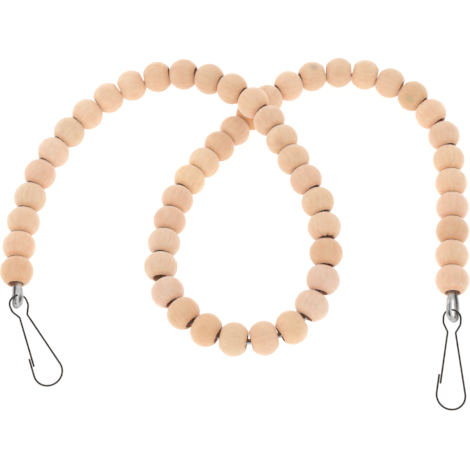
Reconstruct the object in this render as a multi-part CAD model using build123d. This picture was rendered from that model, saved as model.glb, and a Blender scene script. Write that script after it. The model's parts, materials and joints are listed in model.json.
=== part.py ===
"""Bead perch swing: turned wooden beads on a bendable wire, with a snap hook on an eye at each end."""
from build123d import *
import math
import os

# Beads, in millimetres
bead_diameter = 20.0
arch_bead_length = 15.9
loop_bead_length = 14.9
bead_bore = 8.8
bead_rim_width = 1.0
bead_rim_round = 0.25
bead_spacing = 0.2
placing_rounds = 4

# Core wire: it lies near the bottom of every bore, with a little play
core_diameter = 3.2
core_play = 0.4

# Share of the run beside it that a bend or a rounded edge may take
bend_share = 0.45

# Strand as it lies on the table, measured over the line of the bead centres
strand_width = 265.8
strand_depth = 190.0
crossing_clearance = 0.5

# Route of the bead centres from the left end to the right end: shares of the width and depth, and lift
# A lift of 0 lies on the table, and a lift of 1 is one bead higher, as at the crossing
strand_route = [
    (-0.495, -0.230, 0.00),
    (-0.499, -0.107, 0.00),
    (-0.492, 0.041, 0.00),
    (-0.465, 0.180, 0.05),
    (-0.410, 0.315, 0.15),
    (-0.326, 0.438, 0.32),
    (-0.220, 0.505, 0.58),
    (-0.116, 0.504, 0.85),
    (-0.025, 0.440, 1.00),
    (0.042, 0.362, 1.05),
    (0.088, 0.258, 1.06),
    (0.129, 0.137, 1.02),
    (0.176, 0.017, 0.96),
    (0.193, -0.114, 0.86),
    (0.184, -0.263, 0.68),
    (0.126, -0.394, 0.48),
    (0.009, -0.441, 0.36),
    (-0.103, -0.377, 0.32),
    (-0.178, -0.229, 0.27),
    (-0.167, -0.068, 0.17),
    (-0.138, 0.095, 0.06),
    (-0.067, 0.236, 0.00),
    (0.009, 0.362, 0.00),
    (0.099, 0.499, 0.00),
    (0.203, 0.566, 0.08),
    (0.315, 0.560, 0.15),
    (0.427, 0.474, 0.18),
    (0.495, 0.326, 0.14),
    (0.499, 0.168, 0.07),
    (0.494, 0.015, 0.00),
    (0.479, -0.143, 0.00),
    (0.472, -0.260, 0.00),
]

# Start and end of the loop's shorter beads, as shares of the strand's length
loop_start = 0.27
loop_end = 0.68

# Eyes folded from the wire's two ends
eye_opening = 5.0
eye_taper = 6.0
eye_strand_gap = 0.5
eye_drop = 0.3
eye_tail = 11.0
left_eye_length = 13.6
right_eye_length = 16.6
left_eye_roll = 53.0
right_eye_roll = 46.0
left_eye_yaw = 6.0
right_eye_yaw = -3.0
left_eye_shift = 0.5
right_eye_shift = 0.5

# Snap hooks bent from spring wire; reaches are measured from the ring's centre
# The bend values are shares of the largest radius that fits
hook_wire = 1.1
hook_ring_opening = 8.9
hook_shoulder = 3.2
ring_bend = 0.99
shoulder_bend = 0.97
hook_neck_reach = 8.3
hook_neck_opening = 3.5
hook_neck_bend = 1.2
hook_length = 52.5
hook_leg_spread = 10.7
gate_spread = 5.6
gate_stub = 1.6
gate_split = 0.35
nose_reach = 33.3
latch_overlap = 5.4
latch_clearance = 0.3
ring_clearance = 0.45
table_clearance = 0.05
left_hook_set_back = 1.7
right_hook_set_back = 1.2
left_hook_yaw = 17.0
right_hook_yaw = 1.5

bead_radius = bead_diameter / 2
bead_rim_radius = bead_bore / 2 + bead_rim_width
core_radius = core_diameter / 2
hook_radius = hook_wire / 2
hook_ring_radius = (hook_ring_opening + hook_wire) / 2
up = Vector(0, 0, 1)


def bend_radius(before, corner, after):
    """Largest radius that leaves each bend its share of the shorter run beside it."""
    run_in = Vector(corner) - Vector(before)
    run_out = Vector(after) - Vector(corner)
    half_turn = math.radians(run_in.get_angle(run_out)) / 2
    return bend_share * min(run_in.length, run_out.length) / math.tan(half_turn)


def bend_radii(points):
    return [bend_radius(*points[i - 1:i + 2]) for i in range(1, len(points) - 1)]


def tube(path, diameter):
    """Round wire along a path of straight runs and tangent arcs."""
    section = Plane(origin=path @ 0, z_dir=path % 0) * Circle(diameter / 2)
    return sweep(section, path=path)


# Strand: the line of the bead centres and the places of the beads on it

def strand_points():
    """Corners of the line of the bead centres."""
    one_bead_up = bead_diameter + crossing_clearance
    points = []
    for across, away, lift in strand_route:
        height = bead_radius + lift * one_bead_up
        points.append(Vector(across * strand_width, away * strand_depth, height))
    return points


def strand_path():
    points = strand_points()
    return Wire(FilletPolyline(*points, radius=bend_radii(points)).edges())


def next_bead(path, distance, lengths, spacing):
    """Distance along the strand of a bead whose rim is the spacing away from the one before it."""
    place = path.position_at(distance / path.length)
    axis = path.tangent_at(distance / path.length)
    step = sum(lengths) / 2 + spacing
    for _ in range(placing_rounds):
        share = min(1, (distance + step) / path.length)
        chord = path.position_at(share) - place
        tilts = [math.radians(chord.get_angle(line)) for line in (axis, path.tangent_at(share))]
        lengthwise = sum(length / 2 * math.cos(tilt) for length, tilt in zip(lengths, tilts))
        rims = sum(bead_rim_radius * math.sin(tilt) for tilt in tilts)
        step += spacing + lengthwise + rims - chord.length
    return distance + step


def length_after(share):
    """Length of the bead that follows one at this share of the strand's length."""
    return loop_bead_length if loop_start < share < loop_end else arch_bead_length


def bead_row(path):
    """Places and lengths of as many beads as fit, with the spare length shared out between them."""
    last = path.length - arch_bead_length / 2
    row = [arch_bead_length / 2]
    lengths = [arch_bead_length]
    while row[-1] <= last:
        lengths.append(length_after(row[-1] / path.length))
        row.append(next_bead(path, row[-1], lengths[-2:], bead_spacing))
    row.pop()
    lengths.pop()
    spacing = bead_spacing
    for _ in range(placing_rounds):
        spacing += (last - row[-1]) / (len(row) - 1)
        for number in range(1, len(row)):
            row[number] = next_bead(path, row[number - 1], lengths[number - 1:number + 1], spacing)
    print(f"{len(row)} beads {spacing:.2f} mm apart, strand {path.length:.0f} mm")
    return row, lengths


def placed_beads(path):
    """Plane of each bead, with its bore along the normal, and its length."""
    row, lengths = bead_row(path)
    shares = [distance / path.length for distance in row]
    planes = [Plane(origin=path.position_at(t), z_dir=path.tangent_at(t)) for t in shares]
    return list(zip(planes, lengths))


def bead(length):
    """Turned bead about the Z axis: round outside, flat rims and a wide bore."""
    half = length / 2
    crown = (bead_radius, 0)
    top = (bead_rim_radius, half)
    bottom = (bead_rim_radius, -half)
    outside = ThreePointArc(bottom, crown, top)
    rest = Polyline(top, (bead_bore / 2, half), (bead_bore / 2, -half), bottom)
    profile = Plane.XZ * make_face(outside.edges() + rest.edges())
    turned = revolve(profile, Axis.Z)
    rims = turned.edges().filter_by(GeomType.CIRCLE).filter_by(lambda e: abs(e.center().Z) > half / 2)
    return fillet(rims, min(bead_rim_round, bend_share * bead_rim_width))


# Eyes: each lies in a plane that is rolled about the strand's end

class WireEnd:
    """One end of the strand: the mouth of the end bead's bore, and the frame of the eye beyond it."""

    def __init__(self, points, side, length, roll, yaw, shift):
        face, inner = points[0], points[1]
        self.along_strand = (face - inner).normalized()
        self.out = self.along_strand.rotate(Axis.Z, yaw)
        sideways = up.cross(self.out)
        across = sideways * side
        angle = math.radians(roll)
        self.rise = across * math.cos(angle) + up * math.sin(angle)
        self.mouth = face - up * eye_drop + sideways * shift
        self.length = length
        self.half_width = (eye_opening + core_diameter) / 2
        self.half_mouth = (eye_strand_gap + core_diameter) / 2

    def at(self, along, rise):
        return self.mouth + self.out * along + self.rise * rise

    def points(self):
        """Corners of the fold, from the tail's end round the bow to the strand."""
        wide, narrow = self.half_width, self.half_mouth
        return [
            self.at(0, narrow) - self.along_strand * eye_tail,
            self.at(0, narrow),
            self.at(eye_taper, wide),
            self.at(self.length, wide),
            self.at(self.length, -wide),
            self.at(eye_taper, -wide),
            self.at(0, -narrow),
        ]


def wire_ends():
    points = strand_points()
    left = WireEnd(points, 1, left_eye_length, left_eye_roll, left_eye_yaw, left_eye_shift)
    right = WireEnd(points[::-1], -1, right_eye_length, right_eye_roll, right_eye_yaw, right_eye_shift)
    return left, right


def core_path():
    """The whole wire: left eye, the strand near the bottom of the bores, and the right eye."""
    left, right = wire_ends()
    drop = bead_bore / 2 - core_radius - core_play
    inner = [point - up * drop for point in strand_points()[1:-1]]
    points = left.points() + inner + right.points()[::-1]
    radii = bend_radii(points)
    print("bend radii along the strand", [round(radius) for radius in radii[6:-6]])
    return Wire(FilletPolyline(*points, radius=radii).edges())


def core_wire():
    path = core_path()
    wire = tube(path, core_diameter)
    ideal = math.pi * core_radius ** 2 * path.length
    print(f"core wire {path.length:.0f} mm long, volume {wire.volume / ideal:.4f} of section times length")
    return wire


# Snap hooks, drawn flat with the ring's centre at the origin and the bow along +X

def leg_line(opening, spread, reach):
    """Distance from the middle line of a leg that leaves the neck at an angle."""
    return (opening + hook_wire) / 2 + (reach - hook_neck_reach) * math.tan(math.radians(spread))


def hook_frame_path():
    """Gate stub, ring, long leg, bow and nose in one bent wire."""
    ring = hook_ring_radius
    neck = leg_line(hook_neck_opening, gate_spread, hook_neck_reach)
    stub_reach = hook_neck_reach + gate_stub
    stub = leg_line(hook_neck_opening, gate_spread, stub_reach)
    nose_offset = (hook_wire + latch_clearance) / math.cos(math.radians(gate_spread))
    nose = leg_line(hook_neck_opening, gate_spread, nose_reach) + nose_offset
    nose_corner = leg_line(hook_neck_opening, gate_spread, hook_length) + nose_offset
    leg_corner = leg_line(hook_neck_opening, hook_leg_spread, hook_length)
    half_turns = (90 + hook_leg_spread) / 2, (90 + gate_spread) / 2
    tangents = sum(math.tan(math.radians(turn)) for turn in half_turns)
    bow = ring_bend * (leg_corner + nose_corner) / tangents
    rows = [
        (stub_reach, -stub, None),
        (hook_neck_reach, -neck, hook_neck_bend),
        (hook_shoulder, -ring, shoulder_bend * ring),
        (-ring, -ring, ring_bend * ring),
        (-ring, ring, ring_bend * ring),
        (hook_shoulder, ring, shoulder_bend * ring),
        (hook_neck_reach, neck, hook_neck_bend),
        (hook_length, leg_corner, bow),
        (hook_length, -nose_corner, bow),
        (nose_reach, -nose, None),
    ]
    path = FilletPolyline(*[row[:2] for row in rows], radius=[row[2] for row in rows[1:-1]])
    return Wire(path.edges())


def gate_path():
    """Straight sprung leg from just past the neck to its end inside the nose."""
    start = hook_neck_reach + gate_stub + gate_split
    end = nose_reach + latch_overlap
    start_side = leg_line(hook_neck_opening, gate_spread, start)
    end_side = leg_line(hook_neck_opening, gate_spread, end)
    return Wire(Line((start, -start_side), (end, -end_side)).edges())


def hook_plane(end, set_back, yaw):
    """Place of a hook whose ring lies on the eye's lower strand and whose bow lies on the table."""
    flat = end.out.rotate(Axis.Z, yaw)
    lower = end.at(end.length - set_back - hook_ring_radius, -end.half_width)
    back_height = lower.Z + core_radius + hook_radius + ring_clearance
    bow_height = hook_radius + table_clearance
    slope = math.asin((back_height - bow_height) / (hook_ring_radius + hook_length))
    along = flat * math.cos(slope) - up * math.sin(slope)
    normal = flat * math.sin(slope) + up * math.cos(slope)
    middle = end.at(end.length - set_back, 0)
    height = back_height - hook_ring_radius * math.sin(slope)
    return Plane(origin=(middle.X, middle.Y, height), x_dir=along, z_dir=normal)


def hook_planes():
    left, right = wire_ends()
    return {
        "left": hook_plane(left, left_hook_set_back, left_hook_yaw),
        "right": hook_plane(right, right_hook_set_back, right_hook_yaw),
    }


def write(name, solid):
    export_step(solid, f"parts/{name}.step")


def main():
    os.makedirs("parts", exist_ok=True)
    write("core_wire", core_wire())
    turned = {length: bead(length) for length in (arch_bead_length, loop_bead_length)}
    for number, (plane, length) in enumerate(placed_beads(strand_path()), start=1):
        write(f"bead_{number:02d}", plane.location * turned[length])
    frame = tube(hook_frame_path(), hook_wire)
    gate = tube(gate_path(), hook_wire)
    for side, plane in hook_planes().items():
        write(f"{side}_hook_frame", plane.location * frame)
        write(f"{side}_hook_gate", plane.location * gate)


if __name__ == "__main__":
    main()
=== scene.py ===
"""Looks of the bird swing: turned wooden beads on a bent wire, with a snap hook on an eye at each end."""
import json
import math
import random

import bpy
from mathutils import Matrix, Vector, noise

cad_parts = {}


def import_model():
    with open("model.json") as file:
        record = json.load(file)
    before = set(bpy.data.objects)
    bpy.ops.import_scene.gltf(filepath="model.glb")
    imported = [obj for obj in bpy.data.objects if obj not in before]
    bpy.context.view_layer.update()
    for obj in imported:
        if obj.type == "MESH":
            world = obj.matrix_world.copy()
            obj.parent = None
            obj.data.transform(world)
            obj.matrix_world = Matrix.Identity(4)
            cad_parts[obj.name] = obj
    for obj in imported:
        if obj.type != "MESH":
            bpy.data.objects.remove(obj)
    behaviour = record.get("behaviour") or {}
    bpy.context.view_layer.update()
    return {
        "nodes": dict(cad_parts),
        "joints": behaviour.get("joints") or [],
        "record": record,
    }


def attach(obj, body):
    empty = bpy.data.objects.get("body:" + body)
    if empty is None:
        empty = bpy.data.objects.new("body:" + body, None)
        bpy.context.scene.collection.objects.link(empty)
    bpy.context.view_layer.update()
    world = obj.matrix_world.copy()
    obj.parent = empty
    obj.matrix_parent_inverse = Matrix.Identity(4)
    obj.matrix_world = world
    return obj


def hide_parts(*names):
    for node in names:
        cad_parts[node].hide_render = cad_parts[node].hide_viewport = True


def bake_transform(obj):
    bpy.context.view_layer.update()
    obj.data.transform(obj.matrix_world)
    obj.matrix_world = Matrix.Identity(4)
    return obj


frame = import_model()
joints = {joint["name"]: joint for joint in frame["joints"]}
slots = {part["node"]: part["material_slot"] for part in frame["record"]["subparts"]}
scene = bpy.context.scene
scene.view_settings.view_transform = "Standard"

MM = 0.001

# Bead sizes, as in the solids, in millimetres, and the numbers of the shorter beads round the loop
BEAD_RADIUS = 10.0
ARCH_BEAD_HALF = 7.95
LOOP_BEAD_HALF = 7.45
LOOP_BEADS = range(16, 39)
BORE_RADIUS = 4.4
RIM_RADIUS = 5.4
RIM_ROUND = 0.25

# Bare wood stands a little proud at the rims, so that the beads nearly touch
RIM_PROUD = 0.08

# Points of a bead: round it, up the bore's wall in shares of its height, over the mouth and down the outside
AROUND = 36
AROUND_CHIPPED = 72
WALL_SHARES = (0.0, 0.45, 0.8)
MOUTH_DEGREES = (180, 135, 90)
OUTSIDE_STEPS = 10

# Points of the bore's wall lie no further out than this, in millimetres
BORE_LIMIT = BORE_RADIUS + 0.01

# Uneven turning: hollows of some depth in millimetres, and how often they come
HOLLOW_DEPTH = (0.06, 0.16)
HOLLOW_SCALE = 0.22

# Hollows go in a little more along the bore than across it, and fade over this share of the way to the rim
HOLLOW_LEAN = 0.8
HOLLOW_FADE = 1 / 3

# Share of its radius by which a bead is slimmer at the belly
SLIMMER = (0.0, 0.022)

# Small chips at the rims, in millimetres: how many on a bead, how wide and how deep
CHIP_COUNTS = (1, 2, 2, 3)
CHIP_REACH = (0.9, 1.4)
CHIP_DEPTH = (0.1, 0.28)

# Splintered rim of one bead: each splinter's angle in degrees and depth, and the size that they share
CHIPPED = "bead_21"
SPLINTERS = ((-48, 0.5), (-30, 1.0), (-14, 0.4), (2, 1.2), (20, 0.6), (36, 0.9))
SPLINTER_RADIUS = 5.2
SPLINTER_WIDTH = 0.8
SPLINTER_REACH = 2.3

# Wood tones of the beads, by material slot
TONES = {
    "pale_wood": (0.845, 0.612, 0.432),
    "warm_wood": (0.84, 0.595, 0.425),
    "yellow_wood": (0.85, 0.617, 0.422),
}

# Beads of a tint of their own, by number, and what it does to the wood's tone
TINTS = {
    "deep honey": ((1, 22, 28, 52), (0.94, 0.85, 0.75)),
    "honey": ((29, 46), (0.95, 0.90, 0.82)),
    "amber": ((11, 12, 13, 14, 25, 37), (0.98, 0.95, 0.90)),
    "washed": ((4, 6, 7, 23, 24, 30, 31, 32), (1.01, 1.05, 1.13)),
    # A lighter tint; on beads 40 and 41, next to the crossing, it is painted light that lifts the shade
    # falling on them
    "bright and painted light": ((8, 9, 10, 35, 36, 40, 41, 44, 47), (1.05, 1.08, 1.08)),
    # Bead 39 sits in shade under the crossing: this orange-red tint is painted shade
    "painted shade": ((39,), (0.94, 0.79, 0.61)),
}

# Chance spread of the tone from bead to bead: of the whole, and of green and blue besides
SHADE_SPREAD = (0.97, 1.03)
GREEN_SPREAD = (0.985, 1.015)
BLUE_SPREAD = (0.97, 1.035)

# Stained beads: where the stain is to the right and upwards as the camera sees the bead, and its colour
MARKS = {
    "bead_42": ((0.05, 0.52), (0.40, 0.32, 0.28)),
    "bead_46": ((-0.40, -0.30), (0.42, 0.41, 0.24)),
    "bead_17": ((-0.20, -0.25), (0.62, 0.37, 0.22)),
}
MARK_RADIUS = 9.6

# Clean beads have their stain far out of reach
NO_MARK = (Vector((500, 0, 0)), (0.3, 0.2, 0.1))

# Each bead's chances come from its number, and its grain is cut from a place of its own, in millimetres
SEED = 1000
GRAIN_SHIFT = 90

# Hook sizes, as in the solids, in millimetres, with the gate's spread in degrees
HOOK_RADIUS = 0.55
NECK_REACH = 8.3
NECK_SIDE = 2.3
GATE_STUB = 1.6
GATE_SPLIT = 0.35
GATE_SPREAD = 5.6
GATE_END = 38.7

# Gate leg that shows, in millimetres: how much it is thicker, its start past the neck, and its tip's length
LEG_SKIN = 0.006
LEG_START = 0.75
LEG_TIP = 0.9
LEG_STEPS = 40

# Points of the leg's turned-in tip: how far before the gate's end, and how far inward
TIP_POINTS = ((0.55, 0.06), (0.3, 0.22))

# Rounded wire ends: rings in shares of the way in, length in wire radii, and size at the tip
WIRE_SIDES = 20
END_SHARES = (0.35, 0.8)
END_LENGTH = 0.25
END_SIZE = 0.55

# Camera, as the photograph was taken: picture's side and focal length in pixels, sensor in millimetres
PICTURE = 470
FOCAL = 878.9
SENSOR = 36.0

# Camera's angle above the table, the point that it looks at, its distance and its range of sight, in metres
ELEVATION = math.radians(64)
TARGET = Vector((-0.0023, -0.0116, 0.010))
DISTANCE = 0.53266
NEAREST = 0.01
FURTHEST = 20.0

# Floor, in metres, and the share of plain white in how it looks
FLOOR_REACH = 3.0
FLOOR_DROP = 0.0002
FLOOR_WHITE = 0.82

# Dark card overhead and the point that the lamp is turned to, in metres
CARD_PLACE = (0, -0.15, 1.0)
CARD_HALF_WIDTH = 1.1
CARD_NEAR = -1.3
CARD_FAR = 0.6
LAMP_TARGET = Vector((0, 0, 0.01))


def link(obj):
    scene.collection.objects.link(obj)
    return obj


def smooth(mesh):
    mesh.polygons.foreach_set("use_smooth", [True] * len(mesh.polygons))
    mesh.update()


def rgb(red, green, blue):
    return red, green, blue, 1.0


WHITE = rgb(1, 1, 1)


# Node helpers

class Nodes:
    """Emptied node tree of a material or world, with short calls for making and joining nodes."""

    def __init__(self, owner):
        owner.use_nodes = True
        self.tree = owner.node_tree
        self.tree.nodes.clear()

    def add(self, kind, inputs=None, **settings):
        """New node, with its inputs joined to sockets or set to plain values."""
        node = self.tree.nodes.new(kind)
        for name, value in settings.items():
            setattr(node, name, value)
        for key, value in (inputs or {}).items():
            if isinstance(value, bpy.types.NodeSocket):
                self.tree.links.new(value, node.inputs[key])
            else:
                node.inputs[key].default_value = value
        return node

    def surface(self, shader, output="ShaderNodeOutputMaterial"):
        self.add(output, {0: shader.outputs[0]})

    def mix_shaders(self, share, first, second):
        return self.add("ShaderNodeMixShader", {0: share, 1: first.outputs[0], 2: second.outputs[0]})

    def math(self, operation, a, b=0.0, c=0.0):
        return self.add("ShaderNodeMath", {0: a, 1: b, 2: c}, operation=operation).outputs[0]

    def vector(self, operation, a, b=(0, 0, 0)):
        node = self.add("ShaderNodeVectorMath", {0: a, 1: b}, operation=operation)
        return node.outputs["Value" if operation in ("LENGTH", "DISTANCE") else "Vector"]

    def step(self, value, low, high, to_low=0.0, to_high=1.0):
        """Smooth change from one level to another as a value goes from low to high."""
        node = self.add(
            "ShaderNodeMapRange",
            {"Value": value, "From Min": low, "From Max": high, "To Min": to_low, "To Max": to_high},
            interpolation_type="SMOOTHSTEP",
        )
        return node.outputs[0]

    def mix(self, share, a, b, how="MIX"):
        return self.add("ShaderNodeMix", {0: share, 6: a, 7: b}, data_type="RGBA", blend_type=how).outputs[2]

    def tinted(self, colour, tint, share):
        """Colour multiplied by a tint, over a share of it."""
        return self.mix(share, colour, self.mix(1.0, colour, tint, "MULTIPLY"))

    def covered(self, colour, over, where, share):
        """Colour with another laid over it in places, at most at a share."""
        return self.mix(self.math("MULTIPLY", where, share), colour, over)

    def noise(self, place, scale, detail=2.0, rough=0.5, distortion=0.0):
        node = self.add("ShaderNodeTexNoise", {
            "Vector": place,
            "Scale": scale,
            "Detail": detail,
            "Roughness": rough,
            "Distortion": distortion,
        })
        return node.outputs[0]

    def wobble(self, value, size):
        """Value from 0 to 1 made to swing about zero, over a range of a given size."""
        return self.math("MULTIPLY_ADD", value, size, -size / 2)

    def bump(self, height, strength, distance):
        node = self.add("ShaderNodeBump", {"Strength": strength, "Distance": distance, "Height": height})
        return node.outputs[0]

    def attribute(self, name, output="Vector"):
        return self.add("ShaderNodeAttribute", attribute_name=name).outputs[output]

    def backdrop_rays(self):
        """One for rays that see a backdrop directly, in metal or through glass, and zero for its light."""
        path = self.add("ShaderNodeLightPath").outputs
        seen = self.math("MAXIMUM", path["Is Camera Ray"], path["Is Glossy Ray"])
        return self.math("MAXIMUM", seen, path["Is Transmission Ray"])


def new_material(name):
    material = bpy.data.materials.new(name)
    return material, Nodes(material)


# Wood of the beads

# Stretch of the wood's patterns, two ways across the bore and along it
FIBRE_STRETCH = (1.0, 1.0, 0.055)
STREAK_STRETCH = (1.0, 1.0, 0.03)
BAND_STRETCH = (1.0, 0.25, 0.06)
PORE_STRETCH = (1.0, 1.0, 0.16)
ACROSS_BORE = (1.0, 1.0, 0.0)

# Tints that multiply the bead's tone, and browns that cover it
MOTTLE_TINT = rgb(0.985, 0.925, 0.89)
STREAK_TINT = rgb(0.93, 0.85, 0.75)
BAND_TINT = rgb(0.93, 0.87, 0.80)
DARK_FIBRE_TINT = rgb(0.86, 0.78, 0.68)
PALE_FIBRE_TINT = rgb(1.06, 1.06, 1.07)
# End grain tint, which is also painted orange shade in the grooves where neighbouring beads meet
END_GRAIN_AND_SHADE_TINT = rgb(1.0, 0.79, 0.57)
PORE_BROWN = rgb(0.44, 0.27, 0.15)
PINHOLE_BROWN = rgb(0.30, 0.17, 0.09)
RIM_BROWN = rgb(0.66, 0.38, 0.19)
BORE_BROWN = rgb(0.80, 0.40, 0.18)

# Heights where the end grain, with the painted shade of the grooves between beads, starts and is full, and
# where the bore is fully brown, in millimetres
END_GRAIN_AND_SHADE_START = LOOP_BEAD_HALF - 1.9
END_GRAIN_AND_SHADE_FULL = LOOP_BEAD_HALF - 0.1
BORE_DEEP = LOOP_BEAD_HALF - 2.6
END_GRAIN_AND_SHADE_SHARE = 0.6

# Distances from the bore's line where the rim's and the wall's browns start and are full, in millimetres
RIM_BROWN_START = 5.0
RIM_BROWN_FULL = BORE_RADIUS
RIM_RAGGED = 0.7
WALL_BROWN_START = 4.62
WALL_BROWN_FULL = 4.43

# Distances from a stain's middle where it starts and is full, and how patchy it is, in millimetres
STAIN_START = 4.6
STAIN_FULL = -0.4
STAIN_PATCHES = 5.0

# Roughness between the fibres and what they add to it, and the relief of pores, pinholes and fine lumps
ROUGH_LEAST = 0.50
ROUGH_FIBRES = 0.22
PORE_RELIEF = -0.5
PINHOLE_RELIEF = -1.0
LUMP_RELIEF = 0.5


def grain_colour(n, tone, grain, fibres):
    """Bead's tone with soft mottling, streaks, bands of growth, and dark and pale fibres."""
    mottle = n.noise(grain, scale=0.16)
    streaks = n.noise(n.vector("MULTIPLY", grain, STREAK_STRETCH), scale=0.55)
    bands = n.add("ShaderNodeTexWave", {
        "Vector": n.vector("MULTIPLY", grain, BAND_STRETCH),
        "Scale": 0.11,
        "Distortion": 3.2,
        "Detail": 2.0,
        "Detail Scale": 0.6,
    }).outputs[1]
    colour = n.tinted(tone, MOTTLE_TINT, n.step(mottle, low=0.35, high=0.68))
    colour = n.tinted(colour, STREAK_TINT, n.step(streaks, low=0.42, high=0.7, to_high=0.38))
    colour = n.tinted(colour, BAND_TINT, n.step(bands, low=0.45, high=0.95, to_high=0.2))
    colour = n.tinted(colour, DARK_FIBRE_TINT, n.step(fibres, low=0.48, high=0.72, to_high=0.27))
    return n.tinted(colour, PALE_FIBRE_TINT, n.step(fibres, low=0.46, high=0.28, to_high=0.25))


def end_colour(n, colour, grain, fibres, place):
    """Colour with the end grain near the rims, which also paints orange shade into the grooves between
    beads, a browner rim and the brown wall of the bore.
    """
    height = n.math("ABSOLUTE", n.add("ShaderNodeSeparateXYZ", {0: place}).outputs[2])
    # Last millimetres before each rim: end grain, and painted shade of the grooves between beads
    near_rim = n.step(height, low=END_GRAIN_AND_SHADE_START, high=END_GRAIN_AND_SHADE_FULL)
    end_grain_and_shade = n.math("MULTIPLY", near_rim, n.step(fibres, low=0.3, high=0.65, to_low=0.5))
    colour = n.tinted(colour, END_GRAIN_AND_SHADE_TINT, n.math("MULTIPLY", end_grain_and_shade, END_GRAIN_AND_SHADE_SHARE))
    radius = n.vector("LENGTH", n.vector("MULTIPLY", place, ACROSS_BORE))
    ragged = n.math("ADD", radius, n.wobble(n.noise(grain, scale=0.9), RIM_RAGGED))
    rim = n.step(ragged, low=RIM_BROWN_START, high=RIM_BROWN_FULL)
    colour = n.covered(colour, RIM_BROWN, rim, share=0.4)
    deep = n.step(height, low=LOOP_BEAD_HALF, high=BORE_DEEP, to_low=0.35)
    wall = n.step(radius, low=WALL_BROWN_START, high=WALL_BROWN_FULL)
    return n.covered(colour, BORE_BROWN, n.math("MULTIPLY", wall, deep), share=0.8)


def stained_colour(n, colour, grain, place):
    """Colour with the bead's own stain, patchy at its edge."""
    away = n.vector("DISTANCE", place, n.attribute("bead_mark"))
    patches = n.wobble(n.noise(grain, scale=0.5, detail=3.0, rough=0.6), STAIN_PATCHES)
    stain = n.step(n.math("ADD", away, patches), low=STAIN_START, high=STAIN_FULL)
    return n.covered(colour, n.attribute("bead_mark_tone", "Color"), stain, share=0.55)


def wood_material():
    """Bare turned wood, from each bead's own places, grain, tone and stain."""
    material, n = new_material("turned_wood")
    place = n.attribute("bead_place")
    grain = n.attribute("bead_grain")
    tone = n.attribute("bead_tone", "Color")
    along = n.vector("MULTIPLY", grain, FIBRE_STRETCH)
    fibres = n.noise(along, scale=2.1, detail=4.0, rough=0.62, distortion=0.25)
    colour = grain_colour(n, tone, grain, fibres)

    # Short open pores and pinholes
    pores = n.noise(n.vector("MULTIPLY", grain, PORE_STRETCH), scale=4.6, detail=1.0, rough=0.4)
    pore = n.step(pores, low=0.70, high=0.78)
    colour = n.covered(colour, PORE_BROWN, pore, share=0.25)
    cells = n.add("ShaderNodeTexVoronoi", {"Vector": grain, "Scale": 0.15, "Randomness": 1.0})
    pinhole = n.step(cells.outputs["Distance"], low=0.055, high=0.03)
    colour = n.covered(colour, PINHOLE_BROWN, pinhole, share=0.55)

    colour = end_colour(n, colour, grain, fibres, place)
    colour = stained_colour(n, colour, grain, place)

    # Raised fibres, sunk pores and pinholes, and fine lumps
    relief = n.math("MULTIPLY_ADD", pore, PORE_RELIEF, fibres)
    relief = n.math("MULTIPLY_ADD", pinhole, PINHOLE_RELIEF, relief)
    lumps = n.noise(grain, scale=1.1, detail=3.0, rough=0.6)
    relief = n.math("MULTIPLY_ADD", lumps, LUMP_RELIEF, relief)
    n.surface(n.add("ShaderNodeBsdfPrincipled", {
        "Base Color": colour,
        "Roughness": n.math("MULTIPLY_ADD", fibres, ROUGH_FIBRES, ROUGH_LEAST),
        "Specular IOR Level": 0.28,
        "Sheen Weight": 1.0,
        "Sheen Roughness": 0.44,
        "Sheen Tint": rgb(0.96, 1.0, 0.98),
        "Subsurface Weight": 0.3,
        "Subsurface Radius": (1.0, 0.42, 0.18),
        "Subsurface Scale": 0.0025,
        "Normal": n.bump(relief, strength=0.35, distance=0.00009),
    }))
    return material


# Beads

def on_circle(radius, angle, height):
    return Vector((radius * math.cos(angle), radius * math.sin(angle), height))


def bead_profile(bead_half):
    """Radius and height round a section, from mid-bore up its wall and down the outside, then mirrored."""
    centre = (BEAD_RADIUS ** 2 - RIM_RADIUS ** 2 - bead_half ** 2) / (2 * (BEAD_RADIUS - RIM_RADIUS))
    arc = BEAD_RADIUS - centre
    low = bead_half - RIM_ROUND
    rim = centre + math.sqrt((arc - RIM_ROUND) ** 2 - low ** 2)
    turn = math.atan2(low, rim - centre)
    half = [(BORE_RADIUS, share * low) for share in WALL_SHARES]
    mouth = BORE_RADIUS + RIM_ROUND
    for degrees in MOUTH_DEGREES:
        angle = math.radians(degrees)
        half.append((mouth + RIM_ROUND * math.cos(angle), low + RIM_ROUND * math.sin(angle)))
    for angle in (math.pi / 2, (math.pi / 2 + turn) / 2):
        half.append((rim + RIM_ROUND * math.cos(angle), low + RIM_ROUND * math.sin(angle)))
    for step in range(OUTSIDE_STEPS + 1):
        angle = turn * (1 - step / OUTSIDE_STEPS)
        half.append((centre + arc * math.cos(angle), arc * math.sin(angle)))
    below = [(radius, -height) for radius, height in half[-2:0:-1]]
    return half + below


def rim_chips(luck, half):
    """Small chips at chance places on both rims: middle, width along the rim, reach across it and depth."""
    chips = []
    for _ in range(luck.choice(CHIP_COUNTS)):
        angle = luck.uniform(0, 2 * math.pi)
        end = luck.choice((-1, 1))
        reach = luck.uniform(*CHIP_REACH)
        chips.append((on_circle(RIM_RADIUS, angle, end * half), reach, reach, luck.uniform(*CHIP_DEPTH)))
    return chips


def splinters(half):
    """Row of narrow chips along one rim."""
    chips = []
    for degrees, depth in SPLINTERS:
        spot = on_circle(SPLINTER_RADIUS, math.radians(degrees), half)
        chips.append((spot, SPLINTER_WIDTH, SPLINTER_REACH, depth))
    return chips


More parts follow.
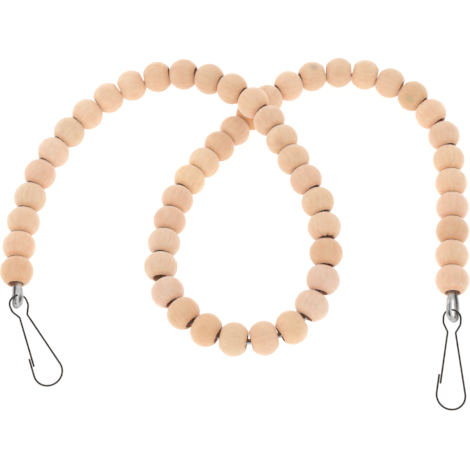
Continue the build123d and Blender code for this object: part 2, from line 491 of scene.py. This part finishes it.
def uneven(point, radius, offset, depth, slimmer):
    """Point of a bead's outside after uneven turning."""
    bulge = max(0.0, (radius - RIM_RADIUS) / (BEAD_RADIUS - RIM_RADIUS))
    rough = 0.5 + 0.5 * noise.noise(point * HOLLOW_SCALE + offset)
    outward = Vector((point.x * HOLLOW_LEAN, point.y * HOLLOW_LEAN, point.z)).normalized()
    shape = point - outward * depth * rough * min(1.0, bulge / HOLLOW_FADE)
    slim = 1 - slimmer * bulge
    return Vector((shape.x * slim, shape.y * slim, shape.z))


def chipped_off(point, chips):
    """How much of the height at a point is lost to chips, with the sign of the chipped end."""
    lost = 0.0
    for spot, width, reach, depth in chips:
        rim_line = Vector((-spot.y, spot.x, 0)).normalized()
        along_rim = (point - spot).dot(rim_line)
        across_rim = (point - spot - rim_line * along_rim).length
        near = math.hypot(along_rim / width, across_rim / reach)
        if near < 1:
            lost += math.copysign(depth * (1 - near * near), spot.z)
    return lost


def ring_faces(around, count):
    """Faces between outlines that stand in a closed ring."""
    faces = []
    for i in range(around):
        here = i * count
        ahead = (i + 1) % around * count
        for k in range(count):
            after = (k + 1) % count
            faces.append((here + k, here + after, ahead + after, ahead + k))
    return faces


def bead_frame(name):
    """Place of a bead: its own Z along the bore, and its X as near to upwards as that leaves."""
    joint = joints[f"{name}_spin"]
    along = Vector(joint["axis"]).normalized()
    side = Vector((0, 0, 1)).cross(along).normalized()
    upward = along.cross(side)
    matrix = Matrix((upward, side, along)).transposed().to_4x4()
    matrix.translation = Vector(joint["pos_m"])
    return matrix


def bead_tone(name, number, luck):
    """Wood's tone with the bead's tint, painted shade on bead 39 and painted light on beads 40 and 41, and
    its chance shade.
    """
    tone = Vector(TONES[slots[name]])
    for numbers, tint in TINTS.values():
        if number in numbers:
            tone *= Vector(tint)
    shade = luck.uniform(*SHADE_SPREAD)
    green = shade * luck.uniform(*GREEN_SPREAD)
    blue = shade * luck.uniform(*BLUE_SPREAD)
    return tone * Vector((shade, green, blue))


def bead_mark(name, matrix):
    """Middle of a bead's stain in the bead's own frame, and its colour."""
    if name not in MARKS:
        return NO_MARK
    (right, upward), tone = MARKS[name]
    nearer = math.sqrt(1 - right * right - upward * upward)
    tilt = Matrix.Rotation(math.pi / 2 - ELEVATION, 3, "X")
    direction = tilt @ Vector((right, upward, nearer))
    return matrix.to_3x3().inverted() @ direction * MARK_RADIUS, tone


def bead_object(name, number, material):
    """One bead where its joint is, with its own turning, chips, grain, tone and stain."""
    luck = random.Random(SEED + number)
    half = LOOP_BEAD_HALF if number in LOOP_BEADS else ARCH_BEAD_HALF
    profile = bead_profile(half + RIM_PROUD)
    around = AROUND_CHIPPED if name == CHIPPED else AROUND
    offset = Vector([luck.uniform(-GRAIN_SHIFT, GRAIN_SHIFT) for _ in range(3)])
    turn = Matrix.Rotation(luck.uniform(0, 2 * math.pi), 3, "Z")
    depth = luck.uniform(*HOLLOW_DEPTH)
    slimmer = luck.uniform(*SLIMMER)
    chips = rim_chips(luck, half)
    if name == CHIPPED:
        chips += splinters(half)

    matrix = bead_frame(name)
    places, corners = [], []
    for i in range(around):
        for radius, height in profile:
            point = on_circle(radius, 2 * math.pi * i / around, height)
            shape = point.copy()
            if radius > BORE_LIMIT:
                shape = uneven(point, radius, offset, depth, slimmer)
            shape.z -= chipped_off(point, chips)
            places.append(point)
            corners.append(matrix @ (shape * MM))
    mesh = bpy.data.meshes.new(name + "_turned")
    mesh.from_pydata(corners, [], ring_faces(around, len(profile)))
    smooth(mesh)

    # What the wood is made from at each point
    count = len(corners)
    grains = [turn @ place + offset for place in places]
    mark_place, mark_tone = bead_mark(name, matrix)
    tone = bead_tone(name, number, luck)
    attributes = {
        "bead_place": ("FLOAT_VECTOR", "vector", [value for place in places for value in place]),
        "bead_grain": ("FLOAT_VECTOR", "vector", [value for grain in grains for value in grain]),
        "bead_mark": ("FLOAT_VECTOR", "vector", list(mark_place) * count),
        "bead_tone": ("FLOAT_COLOR", "color", [*tone, 1.0] * count),
        "bead_mark_tone": ("FLOAT_COLOR", "color", [*mark_tone, 1.0] * count),
    }
    for key, (kind, field, values) in attributes.items():
        mesh.attributes.new(key, kind, "POINT").data.foreach_set(field, values)
    mesh.materials.append(material)
    bead = link(bpy.data.objects.new(name + "_wood", mesh))
    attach(bead, name)
    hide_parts(name)


# Metals

# Stretch of the scratches, what the patchy skin adds to the roughness, and the scratches' relief
SCRATCH_STRETCH = (1.0, 0.12, 1.0)
SKIN_ROUGH = 0.22
SCRATCH_RELIEF = 0.6


def wire_material(name, colour, shade, rough, scratch):
    """Drawn wire: fine scratches, a dulled skin in patches and a little unevenness."""
    material, n = new_material(name)
    place = n.add("ShaderNodeTexCoord").outputs["Object"]
    skin = n.noise(place, scale=420.0, detail=3.0, rough=0.6)
    fine = n.noise(n.vector("MULTIPLY", place, SCRATCH_STRETCH), scale=5200.0, rough=0.6)
    tint = n.mix(n.step(skin, low=0.36, high=0.68), colour, shade)
    tint = n.mix(n.step(fine, low=0.55, high=0.8, to_high=0.5), tint, shade)
    relief = n.math("MULTIPLY_ADD", fine, SCRATCH_RELIEF, skin)
    n.surface(n.add("ShaderNodeBsdfPrincipled", {
        "Base Color": tint,
        "Metallic": 1.0,
        "Roughness": n.math("MULTIPLY_ADD", skin, SKIN_ROUGH, rough),
        "Normal": n.bump(relief, strength=scratch, distance=0.00004),
    }))
    return material


def dress(node, material):
    """Give a solid that stays in view its material."""
    mesh = frame["nodes"][node].data
    mesh.materials.clear()
    mesh.materials.append(material)


# Gate legs of the hooks

def end_rings(tip, outward, radius, shares):
    """Rings of a wire's rounded end: the middle and radius of each."""
    rings = []
    for share in shares:
        middle = tip + outward * radius * END_LENGTH * (1 - share)
        rings.append((middle, radius * (END_SIZE + (1 - END_SIZE) * share)))
    return rings


def tube_mesh(name, points, radius):
    """Round wire through points, with both ends rounded over."""
    forward = (points[1] - points[0]).normalized()
    last = (points[-1] - points[-2]).normalized()
    places = end_rings(points[0], -forward, radius, END_SHARES)
    places += [(point, radius) for point in points]
    places += end_rings(points[-1], last, radius, END_SHARES[::-1])
    verts, faces = [], []
    side = forward.orthogonal().normalized()
    for i, (centre, size) in enumerate(places):
        before = places[max(i - 1, 0)][0]
        after = places[min(i + 1, len(places) - 1)][0]
        along = (after - before).normalized()
        side = (side - along * side.dot(along)).normalized()
        other = along.cross(side)
        for k in range(WIRE_SIDES):
            angle = 2 * math.pi * k / WIRE_SIDES
            verts.append(centre + (side * math.cos(angle) + other * math.sin(angle)) * size)
    last_ring = len(verts) - WIRE_SIDES
    for here in range(0, last_ring, WIRE_SIDES):
        ahead = here + WIRE_SIDES
        for k in range(WIRE_SIDES):
            after = (k + 1) % WIRE_SIDES
            faces.append((here + k, here + after, ahead + after, ahead + k))
    faces.append(tuple(reversed(range(WIRE_SIDES))))
    faces.append(tuple(range(last_ring, len(verts))))
    mesh = bpy.data.meshes.new(name)
    mesh.from_pydata(verts, [], faces)
    smooth(mesh)
    return mesh


def gate_leg(side, material):
    """Sprung leg of a hook, one wire from the neck to its end inside the nose."""
    swing = joints[f"{side}_hook_swing"]
    press = joints[f"{side}_gate_press"]
    origin = Vector(swing["pos_m"])
    normal = Vector(swing["axis"]).normalized()
    tangent = math.tan(math.radians(GATE_SPREAD))
    pivot_reach = NECK_REACH + GATE_STUB + GATE_SPLIT / 2
    pivot_side = NECK_SIDE + (pivot_reach - NECK_REACH) * tangent
    towards = (Vector(press["pos_m"]) - origin).normalized()
    turn = Matrix.Rotation(math.atan2(pivot_side, pivot_reach), 3, normal)
    along = (turn @ towards).normalized()
    across = normal.cross(along)

    def at(reach, inward=0.0):
        offset = NECK_SIDE + (reach - NECK_REACH) * tangent - inward
        return origin + (along * reach - across * offset) * MM

    start = NECK_REACH + LEG_START
    run = GATE_END - LEG_TIP - start
    points = [at(start + run * i / LEG_STEPS) for i in range(LEG_STEPS + 1)]
    points += [at(GATE_END - before, inward) for before, inward in TIP_POINTS]
    mesh = tube_mesh(f"{side}_gate_leg", points, (HOOK_RADIUS + LEG_SKIN) * MM)
    mesh.materials.append(material)
    leg = link(bpy.data.objects.new(f"{side}_gate_leg", mesh))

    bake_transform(leg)
    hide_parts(f"{side}_hook_gate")


# Camera, floor, light and background

def photo_camera():
    lens = bpy.data.cameras.new("camera")
    lens.sensor_width = SENSOR
    lens.lens = FOCAL * SENSOR / PICTURE
    lens.clip_start = NEAREST
    lens.clip_end = FURTHEST
    camera = link(bpy.data.objects.new("camera", lens))
    camera.location = TARGET + Vector((0, -math.cos(ELEVATION), math.sin(ELEVATION))) * DISTANCE
    camera.rotation_euler = (math.pi / 2 - ELEVATION, 0, 0)
    scene.camera = camera


def flat_sheet(name, left, right, near, far, material):
    corners = [(left, near, 0), (right, near, 0), (right, far, 0), (left, far, 0)]
    mesh = bpy.data.meshes.new(name)
    mesh.from_pydata(corners, [], [(0, 1, 2, 3)])
    mesh.materials.append(material)
    return link(bpy.data.objects.new(name, mesh))


def floor():
    """Pale floor that keeps the object's shadow, under a good share of plain white."""
    material, n = new_material("white_floor")
    pale = n.add("ShaderNodeBsdfPrincipled", {
        "Base Color": rgb(0.93, 0.93, 0.93),
        "Emission Color": WHITE,
        "Emission Strength": 0.4,
        "Roughness": 1.0,
        "Specular IOR Level": 0.0,
    })
    white = n.add("ShaderNodeEmission", {"Color": WHITE, "Strength": 1.0})
    share = n.math("MULTIPLY", n.backdrop_rays(), FLOOR_WHITE)
    n.surface(n.mix_shaders(share, pale, white))
    plane = flat_sheet("floor", -FLOOR_REACH, FLOOR_REACH, -FLOOR_REACH, FLOOR_REACH, material)
    plane.location.z = -FLOOR_DROP


def world():
    """Soft light from all round, a little stronger low down, with a white background."""
    sky = bpy.data.worlds.new("studio")
    scene.world = sky
    n = Nodes(sky)
    direction = n.add("ShaderNodeTexCoord").outputs["Generated"]
    height = n.add("ShaderNodeSeparateXYZ", {0: direction}).outputs[2]
    level = n.step(height, low=0.25, high=0.95, to_low=1.12, to_high=0.82)
    light = n.add("ShaderNodeBackground", {"Color": rgb(1.0, 0.995, 0.985), "Strength": level})
    white = n.add("ShaderNodeBackground", {"Color": WHITE, "Strength": 1.0})
    n.surface(n.mix_shaders(n.backdrop_rays(), light, white), "ShaderNodeOutputWorld")


def lamp(name, place, size, power):
    data = bpy.data.lights.new(name, "AREA")
    data.shape = "DISK"
    data.size = size
    data.energy = power
    obj = link(bpy.data.objects.new(name, data))
    obj.location = place
    obj.rotation_euler = (LAMP_TARGET - Vector(place)).to_track_quat("-Z", "Y").to_euler()
    obj.visible_camera = False


def dark_card():
    """Dark card above the table, seen only in reflections, as the camera's side of the studio is."""
    material, n = new_material("dark_card")
    n.surface(n.add("ShaderNodeEmission", {"Color": rgb(0.03, 0.03, 0.03), "Strength": 1.0}))
    card = flat_sheet("dark_card", -CARD_HALF_WIDTH, CARD_HALF_WIDTH, CARD_NEAR, CARD_FAR, material)
    card.location = CARD_PLACE
    card.visible_camera = False
    card.visible_diffuse = False
    card.visible_shadow = False
    card.visible_transmission = False


# Whole scene

photo_camera()

wood = wood_material()
bead_names = sorted(name for name in frame["nodes"] if name.startswith("bead_"))
for number, name in enumerate(bead_names, start=1):
    bead_object(name, number, wood)

aluminium = wire_material(
    "drawn_aluminium", colour=rgb(0.66, 0.66, 0.665), shade=rgb(0.47, 0.47, 0.475), rough=0.31, scratch=0.35,
)
# Hook wire: its base colours are far darker than bare nickel's, painting in the dark reflection that the
# thin polished wire shows
nickel = wire_material(
    "nickel_wire_painted_dark_reflection", colour=rgb(0.17, 0.15, 0.14), shade=rgb(0.085, 0.073, 0.066), rough=0.16, scratch=0.3,
)
dress("core_wire", aluminium)
for side in ("left", "right"):
    dress(f"{side}_hook_frame", nickel)
    gate_leg(side, nickel)

floor()
world()
lamp("key", place=(-0.55, 0.55, 0.75), size=0.55, power=0.8)
dark_card()
